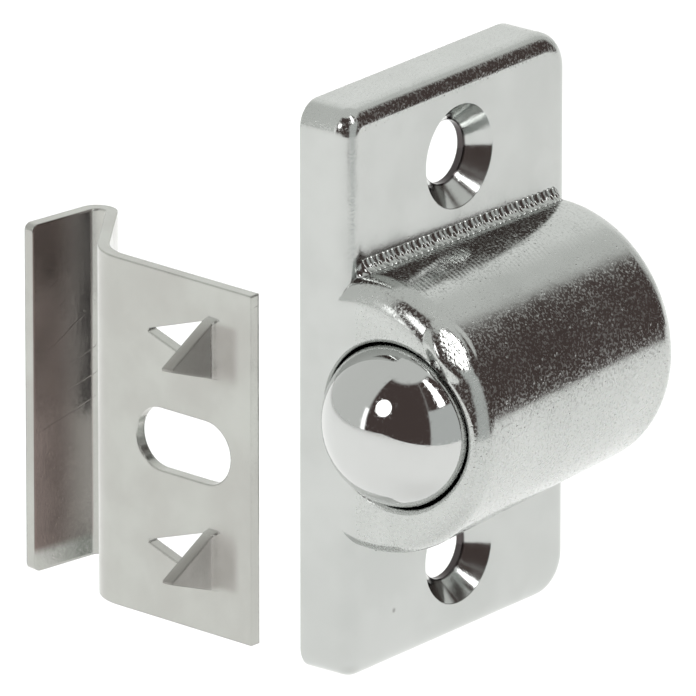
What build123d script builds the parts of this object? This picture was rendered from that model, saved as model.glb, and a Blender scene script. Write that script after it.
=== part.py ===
# Ball catch for a cabinet door: a drawn housing with a spring-loaded ball, and its strike plate.
# X runs along the barrel, away from the ball's end. Y goes back into the door. Z is up.
# The origin is the centre of the mounting plane, between the two screws.
# Depths are counted forward from the mounting plane, along -Y. All sizes are in millimetres.

import os
from math import cos, radians, sin, sqrt, tan

from build123d import *

os.makedirs("parts", exist_ok=True)

# Housing, drawn from one sheet
plate_width = 24.0
plate_height = 40.0
tray_depth = 4.0
sheet = 0.9
front_bend = 1.2
ball_end_corner = 1.7
far_end_corner = 2.8

# Barrel across the plate
barrel_radius = 9.75
barrel_drop = 0.95
side_taper = 1.25
front_taper = 3.2
ball_end_round = 2.0
far_end_round = 2.0

# Screw holes
screw_spacing = 28.0
screw_bore = 4.4
screw_head = 7.2
sink_angle = 90.0
bore_land = 0.5
sink_wall = 0.6

# Ball in its opening
ball_diameter = 11.6
ball_depth = 7.8
opening_diameter = 11.3
opening_round = 0.35
seat_gap = 0.1
wall_gap = 0.12
travel = 3.8

# Moulded guide inside the barrel
fit_gap = 0.15
slide_gap = 0.2
back_gap = 0.2
stop_wall = 1.6
spigot_diameter = 5.2
spigot_length = 2.0

# Cup between the ball and the spring
cup_grip = 3.6
cup_web = 1.2
cup_skirt = 3.0

# Compression spring
spring_wire = 0.8
spring_diameter = 7.8
spring_turns = 7

# Strike plate, folded from one sheet
strike_height = 24.4
strike_flat = 13.8
strike_sheet = 0.8
ramp_rise = 7.5
ramp_angle = 52.5
leg_length = 6.6
leg_lean = 6.5
ramp_bend = 3.7
crest_bend = 0.6
leg_corner = 0.5
strike_turn = 3.4
strike_gap = 13.0
strike_edge_depth = 6.2
strike_drop = 0.8

# Slot and claws of the strike plate
pattern_rise = 0.4
slot_length = 8.4
slot_width = 4.4
slot_from_edge = 6.0
claw_spacing = 14.8
claw_length = 6.0
claw_base = 4.2
claw_tip = 0.2
claw_from_edge = 3.1
claw_angle = 99.0
claw_bend = 0.4

# Sizes that follow from the ones above
half_width = plate_width / 2
ball_radius = ball_diameter / 2
seat_radius = ball_radius + seat_gap
ball_inset = sqrt(seat_radius**2 - (opening_diameter / 2) ** 2)
ball_x = -half_width + ball_inset
front_fall = tan(radians(front_taper))
side_fall = tan(radians(side_taper))
barrel_front = ball_depth + ball_radius + wall_gap + sheet + front_fall * (ball_inset + travel)
bore_radius = ball_radius + slide_gap
stop_x = half_width - sheet - fit_gap - stop_wall
spring_seat_x = ball_x + seat_radius + cup_web
cup_back_x = spring_seat_x + cup_skirt
cup_front_limit = barrel_front - sheet - front_fall * (cup_back_x + travel + half_width)
cup_radius = cup_front_limit - wall_gap - ball_depth
cup_rim_radius = sqrt(seat_radius**2 - cup_grip**2)
channel_radius = cup_radius + slide_gap
channel_x = ball_x + travel + sqrt(seat_radius**2 - channel_radius**2)
sink_depth = (screw_head - screw_bore) / 2 / tan(radians(sink_angle / 2))
sink_back = tray_depth - sink_depth - bore_land
dimple_height = tray_depth - sheet / 2 - sink_back
dimple_radius = screw_bore / 2 + sink_wall + dimple_height * tan(radians(sink_angle / 2))

blade_length = claw_length - strike_sheet

# The ball's own axis, along the barrel, and the plane through it that faces forward
ball_axis = Axis(origin=(0, -ball_depth, -barrel_drop), direction=(1, 0, 0))
ball_plane = Plane(origin=ball_axis.position, x_dir=(1, 0, 0), z_dir=(0, -1, 0))


def barrel_form(inset):
    """The tapered barrel, cut off at the mounting plane; an inset makes the hollow inside it."""
    with BuildPart() as barrel:
        for end in (-1, 1):
            station = end * (half_width - inset)
            from_ball_end = station + half_width
            radius = barrel_radius - side_fall * from_ball_end
            axis_depth = barrel_front - front_fall * from_ball_end - radius
            with BuildSketch(Plane.YZ.offset(station)):
                with Locations((-axis_depth, -barrel_drop)):
                    Circle(radius - inset)
        loft(ruled=True)
        fillet(barrel.faces().sort_by(Axis.X)[0].edges(), radius=ball_end_round - inset)
        fillet(barrel.faces().sort_by(Axis.X)[-1].edges(), radius=far_end_round - inset)
        split(bisect_by=Plane.XZ, keep=Keep.TOP)
    return barrel.part


def tray_form(inset):
    """The plate with its rim turned back, as a solid block; an inset makes its hollow."""
    with BuildPart() as tray:
        with BuildSketch(Plane.XZ) as outline:
            Rectangle(plate_width - 2 * inset, plate_height - 2 * inset)
            fillet(outline.vertices().group_by(Axis.X)[0], radius=ball_end_corner - inset)
            fillet(outline.vertices().group_by(Axis.X)[-1], radius=far_end_corner - inset)
        extrude(amount=tray_depth - inset)
        fillet(tray.faces().sort_by(Axis.Y)[0].edges(), radius=front_bend - inset)
    return tray.part


# Housing: the drawn shell, its two countersunk screw holes and the ball's opening
with BuildPart() as housing:
    add(tray_form(0))
    add(barrel_form(0))
    add(tray_form(sheet), mode=Mode.SUBTRACT)
    add(barrel_form(sheet), mode=Mode.SUBTRACT)
    with Locations(Plane.XZ.offset(sink_back)):
        with GridLocations(0, screw_spacing, 1, 2):
            Cone(
                screw_bore / 2 + sink_wall,
                dimple_radius,
                dimple_height,
                align=(Align.CENTER, Align.CENTER, Align.MIN),
            )
    with Locations(Plane.XZ.offset(tray_depth)):
        with GridLocations(0, screw_spacing, 1, 2):
            CounterSinkHole(screw_bore / 2, screw_head / 2, counter_sink_angle=sink_angle)
    with Locations((ball_x, -ball_depth, -barrel_drop)):
        Sphere(seat_radius, mode=Mode.SUBTRACT)
    opening = housing.edges().filter_by(GeomType.CIRCLE).group_by(Axis.X)[0].sort_by(SortBy.LENGTH)[-1]
    fillet(opening, radius=opening_round)
housing.part.label = "housing"

# Ball, held back by the opening's edge
with BuildPart() as ball:
    with Locations((ball_x, -ball_depth, -barrel_drop)):
        Sphere(ball_radius)
ball.part.label = "ball"

# Guide: a channel open to the front, stepped from the ball to the cup, with a stop wall
with BuildPart() as guide:
    add(barrel_form(sheet + fit_gap))
    split(bisect_by=Plane.XZ.offset(back_gap), keep=Keep.TOP)
    for radius, reach in ((bore_radius, channel_x), (channel_radius, stop_x)):
        with BuildSketch(Plane.YZ.offset(-half_width)):
            with Locations((-ball_depth, -barrel_drop)):
                Circle(radius)
                Rectangle(barrel_front, 2 * radius, align=(Align.MAX, Align.CENTER))
        extrude(amount=half_width + reach, mode=Mode.SUBTRACT)
    with BuildSketch(Plane.YZ.offset(stop_x)):
        with Locations((-ball_depth, -barrel_drop)):
            Circle(spigot_diameter / 2)
    extrude(amount=-spigot_length)
guide.part.label = "guide"

# Spring cup: hollowed to the ball in front, with a pocket for the spring behind
with BuildPart() as spring_cup:
    rim_x = ball_x + cup_grip
    pocket_radius = spring_diameter / 2 + slide_gap
    with BuildSketch(ball_plane):
        with BuildLine():
            RadiusArc((ball_x + seat_radius, 0), (rim_x, cup_rim_radius), -seat_radius)
            Polyline(
                (rim_x, cup_rim_radius),
                (rim_x, cup_radius),
                (cup_back_x, cup_radius),
                (cup_back_x, pocket_radius),
                (spring_seat_x, pocket_radius),
                (spring_seat_x, 0),
                (ball_x + seat_radius, 0),
            )
        make_face()
    revolve(axis=ball_axis)
spring_cup.part.label = "spring_cup"

# Compression spring, ground flat at both ends
with BuildPart() as spring:
    spring_length = stop_x - spring_seat_x
    with BuildLine() as coil:
        Helix(
            pitch=spring_length / spring_turns,
            height=spring_length,
            radius=(spring_diameter - spring_wire) / 2,
            center=(spring_seat_x, -ball_depth, -barrel_drop),
            direction=(1, 0, 0),
        )
    with BuildSketch(Plane(origin=coil.line @ 0, z_dir=coil.line % 0)):
        Circle(spring_wire / 2)
    sweep()
    split(bisect_by=Plane.YZ.offset(spring_seat_x), keep=Keep.TOP)
    split(bisect_by=Plane.YZ.offset(stop_x), keep=Keep.BOTTOM)
spring.part.label = "spring"

# Strike plate: a flat with a slot and two claws, a ramp, and a leg folded back from the crest.
# In its plan, x runs across the flat towards the leg, and y the way the claws point.
strike_plan = Plane(
    origin=(-half_width - strike_gap, -strike_edge_depth, -strike_drop),
    x_dir=Vector(0, 1, 0).rotate(Axis.Z, -strike_turn),
    z_dir=(0, 0, 1),
)
strike_face = Plane(strike_plan.origin, x_dir=strike_plan.x_dir, z_dir=-strike_plan.y_dir)
ramp_run = ramp_rise / tan(radians(ramp_angle))
claw_heights = (pattern_rise - claw_spacing / 2, pattern_rise + claw_spacing / 2)


def claw_form(height):
    """A tongue bent out of the flat, cut to a blunt triangle, with its root in the flat."""
    turn = radians(claw_angle)
    along = Vector(cos(turn), sin(turn))
    across = Vector(sin(turn), -cos(turn))
    root = Vector(claw_from_edge - claw_bend - strike_sheet, 0)
    fold = Vector(claw_from_edge, 0)
    outer_fold = fold + Vector(tan(turn / 2), -1) * strike_sheet
    tip = fold + along * blade_length
    with BuildPart() as claw:
        with BuildSketch(strike_plan.offset(height - claw_base / 2)):
            with BuildLine():
                inner = FilletPolyline(root, fold, tip, radius=claw_bend)
                outer = FilletPolyline(
                    root - Vector(0, strike_sheet),
                    outer_fold,
                    tip + across * strike_sheet,
                    radius=claw_bend + strike_sheet,
                )
                Line(inner @ 0, outer @ 0)
                Line(inner @ 1, outer @ 1)
            make_face()
        extrude(amount=claw_base)
        blade_dir = strike_plan.x_dir.rotate(Axis.Z, claw_angle)
        blade_face = Plane(
            origin=strike_plan.from_local_coords(fold + Vector(0, 0, height)),
            x_dir=blade_dir,
            z_dir=blade_dir.rotate(Axis.Z, 90),
        )
        with BuildSketch(blade_face):
            with BuildLine():
                Polyline(
                    (-2 * strike_sheet, -claw_base / 2),
                    (0, -claw_base / 2),
                    (blade_length, -claw_tip / 2),
                    (blade_length, claw_tip / 2),
                    (0, claw_base / 2),
                    (-2 * strike_sheet, claw_base / 2),
                    close=True,
                )
            make_face()
        extrude(amount=4 * strike_sheet, both=True, mode=Mode.INTERSECT)
    return claw.part


with BuildPart() as strike:
    with BuildSketch(strike_plan.offset(-strike_height / 2)):
        with BuildLine():
            FilletPolyline(
                (0, 0),
                (strike_flat, 0),
                (strike_flat + ramp_run, -ramp_rise),
                (
                    strike_flat + ramp_run + leg_length * sin(radians(leg_lean)),
                    leg_length * cos(radians(leg_lean)) - ramp_rise,
                ),
                radius=[ramp_bend, crest_bend],
            )
            offset(amount=strike_sheet, side=Side.RIGHT)
        make_face()
    extrude(amount=strike_height)
    leg_axis = Axis(strike_plan.origin, strike_plan.y_dir.rotate(Axis.Z, -leg_lean))
    leg_end = strike.faces().filter_by(leg_axis)
    fillet(leg_end.edges().filter_by(Axis.Z, reverse=True), radius=leg_corner)
    with BuildSketch(strike_face):
        with Locations((slot_from_edge, pattern_rise)):
            SlotOverall(slot_length, slot_width)
        with Locations(*((claw_from_edge, height) for height in claw_heights)):
            Polygon(
                (0, -claw_base / 2),
                (claw_length, -claw_tip / 2),
                (claw_length, claw_tip / 2),
                (0, claw_base / 2),
                align=(Align.MIN, Align.CENTER),
            )
    extrude(amount=2 * strike_sheet, mode=Mode.SUBTRACT)
    for height in claw_heights:
        add(claw_form(height))
strike.part.label = "strike"

for piece in (housing, guide, ball, spring_cup, spring, strike):
    export_step(piece.part, f"parts/{piece.part.label}.step")
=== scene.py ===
"""Ball catch and strike plate: surface finish, ribbed root, a copy of the spring and studio."""

from math import atan2, cos, pi, radians, sin, sqrt

import bmesh
import bpy
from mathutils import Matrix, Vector


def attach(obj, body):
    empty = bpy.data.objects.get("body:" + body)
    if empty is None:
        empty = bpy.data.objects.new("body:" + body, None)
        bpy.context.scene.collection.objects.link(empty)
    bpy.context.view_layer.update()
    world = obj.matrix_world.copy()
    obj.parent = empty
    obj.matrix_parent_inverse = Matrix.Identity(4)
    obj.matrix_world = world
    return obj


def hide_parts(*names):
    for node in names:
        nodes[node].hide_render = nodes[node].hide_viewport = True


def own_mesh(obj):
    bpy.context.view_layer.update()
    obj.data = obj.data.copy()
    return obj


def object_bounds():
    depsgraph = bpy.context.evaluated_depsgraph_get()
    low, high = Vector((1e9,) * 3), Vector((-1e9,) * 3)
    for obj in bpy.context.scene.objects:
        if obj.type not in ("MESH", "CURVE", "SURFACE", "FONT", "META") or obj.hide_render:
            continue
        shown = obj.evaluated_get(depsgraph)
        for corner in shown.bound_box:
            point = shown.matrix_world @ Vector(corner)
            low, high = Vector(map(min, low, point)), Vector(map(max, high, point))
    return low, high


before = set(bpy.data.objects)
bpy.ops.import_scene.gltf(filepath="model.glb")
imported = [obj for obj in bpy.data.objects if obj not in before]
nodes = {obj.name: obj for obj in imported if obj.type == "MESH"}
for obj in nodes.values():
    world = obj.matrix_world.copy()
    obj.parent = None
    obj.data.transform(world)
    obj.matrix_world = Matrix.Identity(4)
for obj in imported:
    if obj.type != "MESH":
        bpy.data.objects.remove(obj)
cad_low, cad_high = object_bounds()

MM = 0.001

# Camera: its azimuth, elevation and scale were read off the photograph
AZIMUTH = radians(51.65)
ELEVATION = radians(19.36)
DISTANCE = 1.215
PIXELS_PER_MM = 14.946
IMAGE_SIDE = 696
SENSOR_WIDTH = 36
AIM = Vector((-2.750, 3.270, -0.362)) * MM

CAMERA_FLAT = Vector((-sin(AZIMUTH), -cos(AZIMUTH), 0))
CAMERA_RIGHT = Vector((cos(AZIMUTH), -sin(AZIMUTH), 0))
CAMERA_BACK = CAMERA_FLAT * cos(ELEVATION) + Vector((0, 0, sin(ELEVATION)))


class Graph:
    """Adds nodes to a node tree, links sockets, and sets plain values."""

    def __init__(self, tree):
        self.tree = tree

    def add(self, kind, inputs=None, **settings):
        node = self.tree.nodes.new(kind)
        for key, value in settings.items():
            setattr(node, key, value)
        for key, value in (inputs or {}).items():
            socket = node.inputs[key]
            if isinstance(value, bpy.types.NodeSocket):
                self.tree.links.new(value, socket)
            else:
                socket.default_value = value
        return node

    def math(self, operation, a, b=None, clamp=False):
        inputs = {0: a} if b is None else {0: a, 1: b}
        return self.add("ShaderNodeMath", inputs, operation=operation, use_clamp=clamp).outputs[0]

    def fade(self, value, low, high, to_low=0.0, to_high=1.0):
        """Smooth step: to_low up to low, to_high from high on."""
        inputs = {0: value, 1: low, 2: high, 3: to_low, 4: to_high}
        return self.add("ShaderNodeMapRange", inputs, interpolation_type="SMOOTHSTEP").outputs[0]

    def drop(self, value, low, high):
        """Smooth step down: 1 up to low, 0 from high on."""
        return self.fade(value, low, high, 1.0, 0.0)

    def band(self, value, low, high, soft):
        """1 between low and high, with soft edges."""
        rising = self.fade(value, low - soft, low + soft)
        return self.product(rising, self.drop(value, high - soft, high + soft))

    def product(self, *factors):
        result = factors[0]
        for factor in factors[1:]:
            result = self.math("MULTIPLY", result, factor)
        return result

    def noise(self, place, scale, detail=2.0, roughness=0.5):
        inputs = {"Vector": place, "Scale": scale, "Detail": detail, "Roughness": roughness}
        return self.add("ShaderNodeTexNoise", inputs).outputs["Fac"]

    def cells(self, place, scale):
        return self.add("ShaderNodeTexVoronoi", {"Vector": place, "Scale": scale}).outputs["Distance"]

    def millimetres(self, place):
        inputs = {0: place, "Scale": 1 / MM}
        return self.add("ShaderNodeVectorMath", inputs, operation="SCALE").outputs["Vector"]

    def axes(self, vector):
        return self.add("ShaderNodeSeparateXYZ", {0: vector}).outputs[:3]

    def dot(self, a, b):
        return self.add("ShaderNodeVectorMath", {0: a, 1: b}, operation="DOT_PRODUCT").outputs["Value"]

    def bump(self, height, distance, **inputs):
        inputs.update({"Strength": 1.0, "Distance": distance, "Height": height})
        return self.add("ShaderNodeBump", inputs).outputs[0]

    def mix(self, factor, a, b):
        node = self.add("ShaderNodeMix", data_type="RGBA")
        for socket, value in ((node.inputs[0], factor), (node.inputs[6], a), (node.inputs[7], b)):
            if isinstance(value, bpy.types.NodeSocket):
                self.tree.links.new(value, socket)
            else:
                socket.default_value = value
        return node.outputs[2]

    def link(self, a, b):
        self.tree.links.new(a, b)


def rgb(*values):
    return (*values, 1.0)


# Room: what the bright metal mirrors. Each board is (azimuth from, to, elevation from, to,
# edge softness, colour), in degrees, the azimuth counted from the camera towards its right
WALL = rgb(0.75, 0.76, 0.74)
DARK = rgb(0.085, 0.064, 0.06)
BOARDS = [
    (-60, 30, -95, 68, 3, DARK),
    (30, 76, 27, 68, 3, DARK),
    (76, 126, -95, 38, 5, DARK),
    (30, 76, -95, 28, 1.5, rgb(0.62, 0.64, 0.63)),
    (48.5, 59, 30, 67, 2, rgb(7.0, 7.0, 7.0)),
    (-66, -60, -3, 24, 1.5, rgb(2.0, 2.0, 2.0)),
    (150, 200, -5, 45, 8, rgb(1.0, 1.01, 0.99)),
    (-200, -150, -5, 45, 8, rgb(1.0, 1.01, 0.99)),
]
LAMP = rgb(4.0, 4.0, 4.0)
LAMP_DIRECTION = (-39, 31)
LAMP_WIDTH = 10.5
BACKDROP = rgb(1.1, 1.1, 1.1)


def build_room():
    world = bpy.data.worlds.new("room")
    bpy.context.scene.world = world
    world.use_nodes = True
    world.node_tree.nodes.clear()
    g = Graph(world.node_tree)
    direction = g.add("ShaderNodeTexCoord").outputs["Generated"]

    degrees = 180 / pi
    forward = g.dot(direction, tuple(CAMERA_FLAT))
    side = g.dot(direction, tuple(CAMERA_RIGHT))
    up = g.dot(direction, (0, 0, 1))
    azimuth = g.math("MULTIPLY", g.math("ARCTAN2", side, forward), degrees)
    elevation = g.math("MULTIPLY", g.math("ARCSINE", up), degrees)
    colour = WALL
    for left, right, low, high, soft, board in BOARDS:
        mask = g.product(g.band(azimuth, left, right, soft), g.band(elevation, low, high, soft))
        colour = g.mix(mask, colour, board)
    turn, rise = (radians(angle) for angle in LAMP_DIRECTION)
    lamp = (CAMERA_FLAT * cos(turn) + CAMERA_RIGHT * sin(turn)) * cos(rise) + Vector((0, 0, sin(rise)))
    inner, outer = cos(radians(LAMP_WIDTH * 0.9)), cos(radians(LAMP_WIDTH * 1.1))
    colour = g.mix(g.fade(g.dot(direction, tuple(lamp)), outer, inner), colour, LAMP)
    seen = g.add("ShaderNodeLightPath").outputs["Is Camera Ray"]
    colour = g.mix(seen, colour, BACKDROP)
    shader = g.add("ShaderNodeBackground", {"Color": colour, "Strength": 1.0})
    g.link(shader.outputs[0], g.add("ShaderNodeOutputWorld").inputs[0])


def build_camera():
    data = bpy.data.cameras.new("camera")
    camera = bpy.data.objects.new("camera", data)
    bpy.context.scene.collection.objects.link(camera)
    data.sensor_width = SENSOR_WIDTH
    data.lens = SENSOR_WIDTH * DISTANCE / MM * PIXELS_PER_MM / IMAGE_SIDE
    data.clip_start, data.clip_end = 0.01, 50
    camera.location = AIM + CAMERA_BACK * DISTANCE
    camera.rotation_mode = "QUATERNION"
    camera.rotation_quaternion = CAMERA_BACK.to_track_quat("Z", "Y")
    bpy.context.scene.camera = camera


def principled(name):
    material = bpy.data.materials.new(name)
    material.use_nodes = True
    g = Graph(material.node_tree)
    return material, g, material.node_tree.nodes["Principled BSDF"]


PIT_COLOUR = rgb(0.12, 0.11, 0.1)
PIT_DEPTH = 2e-5


def plated(name, colour, dull, rough, grain, wave, pits, bevel, zones):
    """Nickel plate: a grainy skin over slightly wavy drawn steel, with dull blotches and pits.

    The grain, the wave and the bevel are in metres, and pits is a share. zones(g, place) gives a
    share of painted shade, its colour, a hazy share, a grainy share and a height in metres. The
    edges are shaded as if rounded by the bevel.
    """
    material, g, shader = principled(name)
    place = g.add("ShaderNodeTexCoord").outputs["Object"]
    painted_shade, painted_shade_colour, haze, grainy, height = zones(g, place)

    tone = g.fade(g.noise(place, scale=170, detail=4, roughness=0.6), 0.35, 0.68)
    shade = g.mix(tone, rgb(*dull), rgb(*colour))
    pit = g.drop(g.cells(place, scale=260), 0.035, 0.075)
    pit = g.product(pit, g.fade(g.noise(place, scale=90, detail=1), 0.55, 0.62))
    shade = g.mix(g.product(pit, pits), shade, PIT_COLOUR)
    # Painted shade and painted reflection from the zones, with a tarnished tint in the strike's fold
    shade = g.mix(painted_shade, shade, painted_shade_colour)
    g.link(shade, shader.inputs["Base Color"])

    speck = g.fade(g.noise(place, scale=6000, detail=1), 0.5, 0.62)
    smear = g.noise(place, scale=420, detail=3, roughness=0.6)
    smear = g.fade(smear, 0.3, 0.75, rough * 0.75, rough * 1.35)
    smear = g.math("ADD", smear, g.product(speck, grainy, rough * 1.5))
    smear = g.math("ADD", smear, g.product(haze, 0.25))
    g.link(smear, shader.inputs["Roughness"])
    shader.inputs["Metallic"].default_value = 1.0

    rounded = g.add("ShaderNodeBevel", {"Radius": bevel}, samples=6).outputs[0]
    swell = g.bump(g.noise(place, scale=240), wave, Normal=rounded)
    skin = g.bump(g.noise(place, scale=3600, roughness=0.6), grain, Normal=swell)
    crater = g.drop(g.cells(place, scale=2600), 0.08, 0.26)
    crater = g.product(crater, g.fade(g.noise(place, scale=1500, detail=1), 0.5, 0.6), grainy)
    dents = g.math("ADD", g.product(crater, grain * 5), g.product(pit, pits * PIT_DEPTH))
    height = g.math("SUBTRACT", height, dents)
    g.link(g.bump(height, 1.0, Normal=skin), shader.inputs["Normal"])
    return material


# Housing, in millimetres: the root is the line where the barrel rises from the plate
SCREW_HEIGHT = 14
# Painted shade: the wall of the screw holes is painted near black
HOLE_SHADE = rgb(0.09, 0.08, 0.08)
ROOT_HEIGHT = 8.5
ROOT_SLOPE = 0.0192
RISE_REACH = 3.4
RISE_HEIGHT = 0.13
LINE_PITCH = 0.42
LINE_SLANT = 9
LINE_DEPTH = 0.005
PLATE_GRAIN = 0.12
FLAT_SPOT = (-11.2, -12.2, 5.18)
FLAT_SPOT_NORMAL = (-0.402, -0.697, 0.596)
FLAT_SPOT_LENGTHWISE = (0, 0.656, 0.755)
FLATNESS = 0.9


def housing_zones(g, place):
    """Plate rising slightly to the barrel's root, drawing lines beside it, grain on the barrel.

    The rounded end above the ball is a little flat in one spot, and the wall of the screw holes is
    painted near black as shade.
    """
    place_mm = g.millimetres(place)
    x, y, z = g.axes(place_mm)

    above = g.math("SUBTRACT", g.math("ADD", z, g.product(x, ROOT_SLOPE)), ROOT_HEIGHT)
    near = g.math("SUBTRACT", 1.0, g.math("MULTIPLY", above, 1 / RISE_REACH, clamp=True))
    past_ball_end = g.fade(x, -11.0, -9.4)
    plate_front = g.fade(y, -4.3, -4.05)
    rise = g.product(near, near, RISE_HEIGHT * MM, past_ball_end, plate_front, g.fade(z, 4, 6))

    slant = g.math("ADD", g.product(x, 2 * pi / LINE_PITCH), g.product(z, -LINE_SLANT))
    beside_root = g.product(g.fade(z, 6.4, 7.6), g.drop(y, -5.1, -4.8))
    depth = g.fade(g.noise(place, scale=420), 0.4, 0.6, 0.0, LINE_DEPTH * MM)
    lines = g.product(g.math("SINE", slant), beside_root, depth)

    barrel = g.drop(y, -4.9, -4.4)
    upper_bend = g.fade(z, 18.3, 18.9)
    grain = g.math("ADD", g.math("MAXIMUM", barrel, upper_bend), PLATE_GRAIN)

    spot = g.add("ShaderNodeVectorMath", {0: place_mm, 1: FLAT_SPOT}, operation="SUBTRACT").outputs[0]
    lengthwise = g.dot(spot, FLAT_SPOT_LENGTHWISE)
    reach = g.math("SUBTRACT", g.dot(spot, spot), g.product(lengthwise, lengthwise, 0.5))
    share = g.fade(g.math("SQRT", reach), 0.7, 1.8, -FLATNESS * MM, 0.0)
    flat = g.product(g.dot(spot, FLAT_SPOT_NORMAL), share)
    height = g.math("ADD", g.math("ADD", lines, rise), flat)

    off_screw = g.math("SUBTRACT", g.math("ABSOLUTE", z), SCREW_HEIGHT)
    off_axis = g.math("SQRT", g.math("ADD", g.product(off_screw, off_screw), g.product(x, x)))
    # Painted shade: the wall of the screw holes takes the near-black colour
    return g.drop(off_axis, 2.24, 2.34), HOLE_SHADE, 0.0, grain, height


# Strike, in millimetres
CLAW_MIDDLE = -0.4
# Painted shade inside the fold, with a tarnished brown tint: dark towards the leg's end, lighter
# towards the crest
FOLD_SHADE_AND_TARNISH = (rgb(0.15, 0.115, 0.105), rgb(0.26, 0.215, 0.2))
FOLD_SHADE_AND_TARNISH_AT_EDGE = rgb(0.42, 0.39, 0.37)
# Painted reflection: a grey smudge beside each claw stands for the claw mirrored in the plate
CLAW_REFLECTION = rgb(0.26, 0.26, 0.24)
SCRATCH_DEPTH = 0.004
FLAT_GRAIN = 0.2


def strike_zones(g, place):
    """Painted shade with a tarnished brown tint inside the fold, a painted reflection of the claws
    beside them, and long fine scratches.
    """
    x, y, z = g.axes(g.millimetres(place))
    normal_y = g.axes(g.add("ShaderNodeNewGeometry").outputs["Normal"])[1]
    # Painted shade on the inner face of the leg, left off its lowest part, where it is lit
    leg = g.product(g.fade(y, 11.9, 12.6), g.fade(z, -12.0, -11.2))
    fold_shade = g.product(g.fade(normal_y, -0.9, -0.97), leg)
    patches = g.noise(place, scale=260, detail=4)
    fold_shade_and_tarnish = g.mix(g.fade(x, -21.2, -17.5), g.mix(patches, *FOLD_SHADE_AND_TARNISH), FOLD_SHADE_AND_TARNISH_AT_EDGE)

    # Painted reflection of the claws on the plate beside them, patchy
    from_middle = g.math("ABSOLUTE", g.math("SUBTRACT", z, CLAW_MIDDLE))
    across = g.product(g.fade(y, -5.3, -4.4), g.drop(y, -3.3, -2.1))
    upright = g.product(g.fade(from_middle, 4.6, 6.6), g.drop(from_middle, 8.9, 9.5))
    claw_reflection = g.product(across, upright, g.fade(patches, 0.2, 0.6, 0.35, 0.75))
    painted_shade = g.math("MAXIMUM", fold_shade, claw_reflection)
    painted_shade_colour = g.mix(claw_reflection, fold_shade_and_tarnish, CLAW_REFLECTION)
    claws = g.drop(x, -25.6, -25.2)

    slant = g.math("ADD", g.product(y, 0.9), g.product(z, 0.52))
    slant = g.math("ADD", slant, g.product(g.noise(place, scale=60), 3.0))
    off_line = g.math("ABSOLUTE", g.math("SUBTRACT", g.math("FRACT", slant), 0.5))
    depth = g.fade(g.noise(place, scale=130), 0.52, 0.62, 0.0, -SCRATCH_DEPTH * MM)
    scratches = g.product(g.drop(off_line, 0.0, 0.03), depth)
    return painted_shade, painted_shade_colour, claws, FLAT_GRAIN, scratches


def polished(name):
    material, g, shader = principled(name)
    place = g.add("ShaderNodeTexCoord").outputs["Object"]
    haze = g.noise(place, scale=500, detail=3)
    fine = g.noise(place, scale=5200, detail=1)
    g.link(g.mix(haze, rgb(0.57, 0.58, 0.57), rgb(0.61, 0.62, 0.61)), shader.inputs["Base Color"])
    smear = g.fade(haze, 0.3, 0.7, 0.02, 0.05)
    smear = g.math("ADD", smear, g.fade(fine, 0.52, 0.64, 0.0, 0.1))
    g.link(smear, shader.inputs["Roughness"])
    shader.inputs["Metallic"].default_value = 1.0
    return material


SKIN_DEPTH = 6e-6


def moulded(name, colour):
    material, g, shader = principled(name)
    place = g.add("ShaderNodeTexCoord").outputs["Object"]
    skin = g.noise(place, scale=2500, detail=3)
    dark = rgb(*(share * 0.88 for share in colour))
    g.link(g.mix(skin, dark, rgb(*colour)), shader.inputs["Base Color"])
    g.link(g.fade(skin, 0.3, 0.7, 0.42, 0.58), shader.inputs["Roughness"])
    g.link(g.bump(skin, SKIN_DEPTH), shader.inputs["Normal"])
    return material


def wire(name):
    material, g, shader = principled(name)
    place = g.add("ShaderNodeTexCoord").outputs["Object"]
    scaled = g.add("ShaderNodeMapping", {"Vector": place, "Scale": (0.4, 3.0, 3.0)}).outputs[0]
    lines = g.noise(scaled, scale=1800)
    g.link(g.mix(lines, rgb(0.34, 0.34, 0.34), rgb(0.46, 0.46, 0.45)), shader.inputs["Base Color"])
    g.link(g.fade(lines, 0.3, 0.7, 0.22, 0.38), shader.inputs["Roughness"])
    shader.inputs["Metallic"].default_value = 1.0
    return material


def dress(node, material):
    data = nodes[node].data
    data.materials.clear()
    data.materials.append(material)


def build_coil():
    """The spring shortens as the ball goes in; a copy of it, attached to the housing, stands for the
    node.
    """
    coil = bpy.data.objects.new("coil_spring", nodes["spring"].data.copy())
    bpy.context.scene.collection.objects.link(coil)
    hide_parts("spring")
    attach(coil, "housing")
    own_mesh(coil)


# Ribbed root of the barrel, in millimetres: a small hollow round where it rises from the plate
PLATE_FRONT = 4.0
HALF_WIDTH = 12.0
BARREL_Z = -0.95
BARREL_RADIUS = 9.75
BARREL_NARROWING = 0.0218
BARREL_DEPTH = 5.177
BARREL_RISE = 0.0341
END_ROUND = 2.0
ROOT_ROUND = 0.85
ROOT_END_ROUND = 0.12
ROOT_END_LENGTH = 0.7
ROOT_ENDS = {1: (-11.0, 10.9), -1: (-9.4, 10.9)}
EDGE_SINK = 0.02
CORNER_SINK = 0.15
RIB_PITCH = 0.56
RIB_HEIGHT = 0.2
STEPS_PER_RIB = 10
ARC_STEPS = 10


def rib_share(x, along):
    """Height of the ribs as a share, 0 between two of them; their pitch and height vary a little."""
    drift = 0.07 * sin(3.3 * x) + 0.05 * sin(7.9 * x + 1)
    strength = 0.8 + 0.1 * sin(1.7 * x + 2) + 0.1 * sin(5.3 * x)
    wave = cos(2 * pi * (along + drift) / RIB_PITCH)
    return strength * (0.5 + 0.5 * wave) ** 1.6


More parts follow.
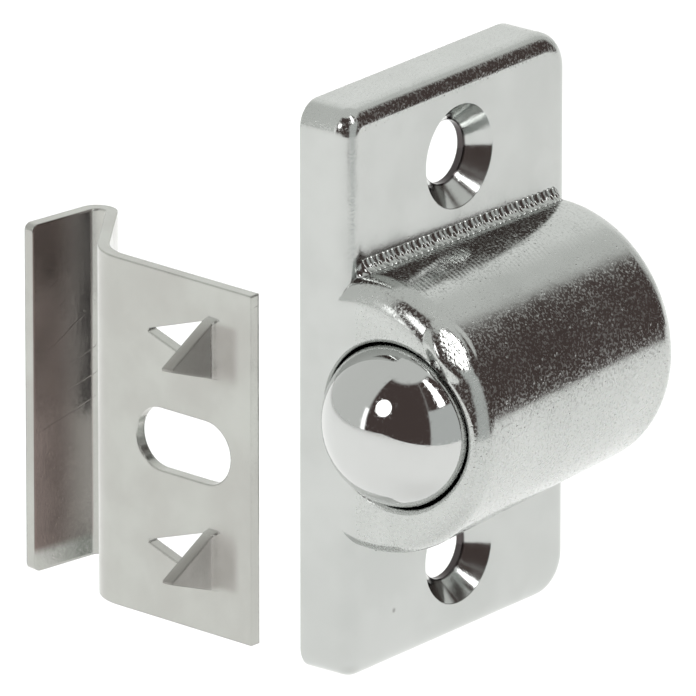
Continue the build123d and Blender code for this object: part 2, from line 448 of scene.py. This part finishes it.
def root_section(x, side):
    """Outline of the root across the barrel at x: the hollow arc, then a corner inside the metal."""
    start, stop = ROOT_ENDS[side]
    along = x + HALF_WIDTH
    radius = BARREL_RADIUS - BARREL_NARROWING * along
    depth = BARREL_DEPTH - BARREL_RISE * along
    near = min(along, 2 * HALF_WIDTH - along)
    if near < END_ROUND:
        radius -= END_ROUND - sqrt(END_ROUND ** 2 - (END_ROUND - near) ** 2)
    fade = min(1, min(x - start, stop - x) / ROOT_END_LENGTH)
    hollow = ROOT_END_ROUND + (ROOT_ROUND - ROOT_END_ROUND) * sqrt(max(0.0, fade * (2 - fade)))
    rib = RIB_HEIGHT * rib_share(x, x - start) * hollow / ROOT_ROUND
    centre_y = PLATE_FRONT + hollow
    centre_z = sqrt((radius + hollow) ** 2 - (depth - centre_y) ** 2)
    low = atan2(depth - centre_y, -centre_z)
    if low > 0:
        low -= 2 * pi
    points = []
    for step in range(ARC_STEPS + 1):
        share = step / ARC_STEPS
        angle = -pi / 2 + (low + pi / 2) * share
        reach = hollow - rib * sin(pi * share) ** 0.5
        points.append((centre_y + reach * sin(angle), centre_z + reach * cos(angle)))
    seam = sqrt(radius ** 2 - (depth - PLATE_FRONT) ** 2)
    points[0] = (PLATE_FRONT - EDGE_SINK, points[0][1])
    points[-1] = (points[-1][0], points[-1][1] - EDGE_SINK)
    points.append((PLATE_FRONT - CORNER_SINK, seam - CORNER_SINK))
    return [Vector((x, -y, BARREL_Z + side * z)) * MM for y, z in points]


def build_root(name, side, material):
    mesh = bmesh.new()
    start, stop = ROOT_ENDS[side]
    count = round((stop - start) / RIB_PITCH * STEPS_PER_RIB)
    rings = []
    for index in range(count + 1):
        x = start + (stop - start) * index / count
        rings.append([mesh.verts.new(point) for point in root_section(x, side)])
    for first, second in zip(rings, rings[1:]):
        for a, b, c, d in zip(first, first[1:] + first[:1], second[1:] + second[:1], second):
            mesh.faces.new((a, b, c, d))
    mesh.faces.new(rings[0])
    mesh.faces.new(rings[-1])
    bmesh.ops.recalc_face_normals(mesh, faces=mesh.faces)
    data = bpy.data.meshes.new(name)
    mesh.to_mesh(data)
    mesh.free()
    for face in data.polygons:
        face.use_smooth = True
    data.materials.append(material)
    piece = bpy.data.objects.new(name, data)
    bpy.context.scene.collection.objects.link(piece)
    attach(piece, "housing")


# Floor: a pale table whose front edge runs along X, as the horizon in the ball shows
FLOOR_DROP = 0.05
FLOOR_FRONT = 0.246
FLOOR_HALF_LENGTH = 4
FLOOR_BACK = 5


def build_floor():
    z = cad_low.z - FLOOR_DROP
    corners = [(-1, -FLOOR_FRONT), (1, -FLOOR_FRONT), (1, FLOOR_BACK), (-1, FLOOR_BACK)]
    corners = [(side * FLOOR_HALF_LENGTH, y, z) for side, y in corners]
    mesh = bpy.data.meshes.new("floor")
    mesh.from_pydata(corners, [], [(0, 1, 2, 3)])
    floor = bpy.data.objects.new("floor", mesh)
    bpy.context.scene.collection.objects.link(floor)
    material, _, shader = principled("table")
    shader.inputs["Base Color"].default_value = rgb(0.9, 0.9, 0.9)
    shader.inputs["Roughness"].default_value = 0.7
    shader.inputs["Specular IOR Level"].default_value = 0.2
    mesh.materials.append(material)


def build_sky():
    """A soft lamp overhead, which the metal doesn't mirror."""
    light = bpy.data.lights.new("sky", "AREA")
    light.shape = "DISK"
    light.size = 1.6
    light.energy = 20
    sky = bpy.data.objects.new("sky", light)
    sky.location = (0, 0.3, 1.6)
    sky.visible_camera = False
    sky.visible_glossy = False
    bpy.context.scene.collection.objects.link(sky)


NICKEL = (0.56, 0.575, 0.56)
NICKEL_BLOTCH = (0.52, 0.535, 0.52)
DULL = (0.505, 0.515, 0.485)
DULL_BLOTCH = (0.455, 0.455, 0.43)
WAVE = 6e-6
housing_nickel = plated(
    "housing_nickel", NICKEL, NICKEL_BLOTCH, rough=0.13, grain=3.2e-6, wave=WAVE, pits=0.7,
    bevel=0.1 * MM, zones=housing_zones,
)
strike_nickel = plated(
    "strike_nickel", DULL, DULL_BLOTCH, rough=0.16, grain=2.4e-6, wave=WAVE, pits=0.25,
    bevel=0.24 * MM, zones=strike_zones,
)
dress("housing", housing_nickel)
dress("strike", strike_nickel)
# The two parts were photographed apart, so neither plate nor ball mirrors the strike
nodes["strike"].visible_glossy = False
dress("ball", polished("ball_steel"))
dress("spring", wire("spring_steel"))
dress("spring_cup", moulded("cup_plastic", (0.78, 0.76, 0.7)))
dress("guide", moulded("guide_plastic", (0.035, 0.035, 0.037)))
build_coil()
build_root("root_upper", 1, housing_nickel)
build_root("root_lower", -1, housing_nickel)
build_floor()
build_sky()
build_room()
build_camera()
bpy.context.scene.view_settings.view_transform = "Standard"
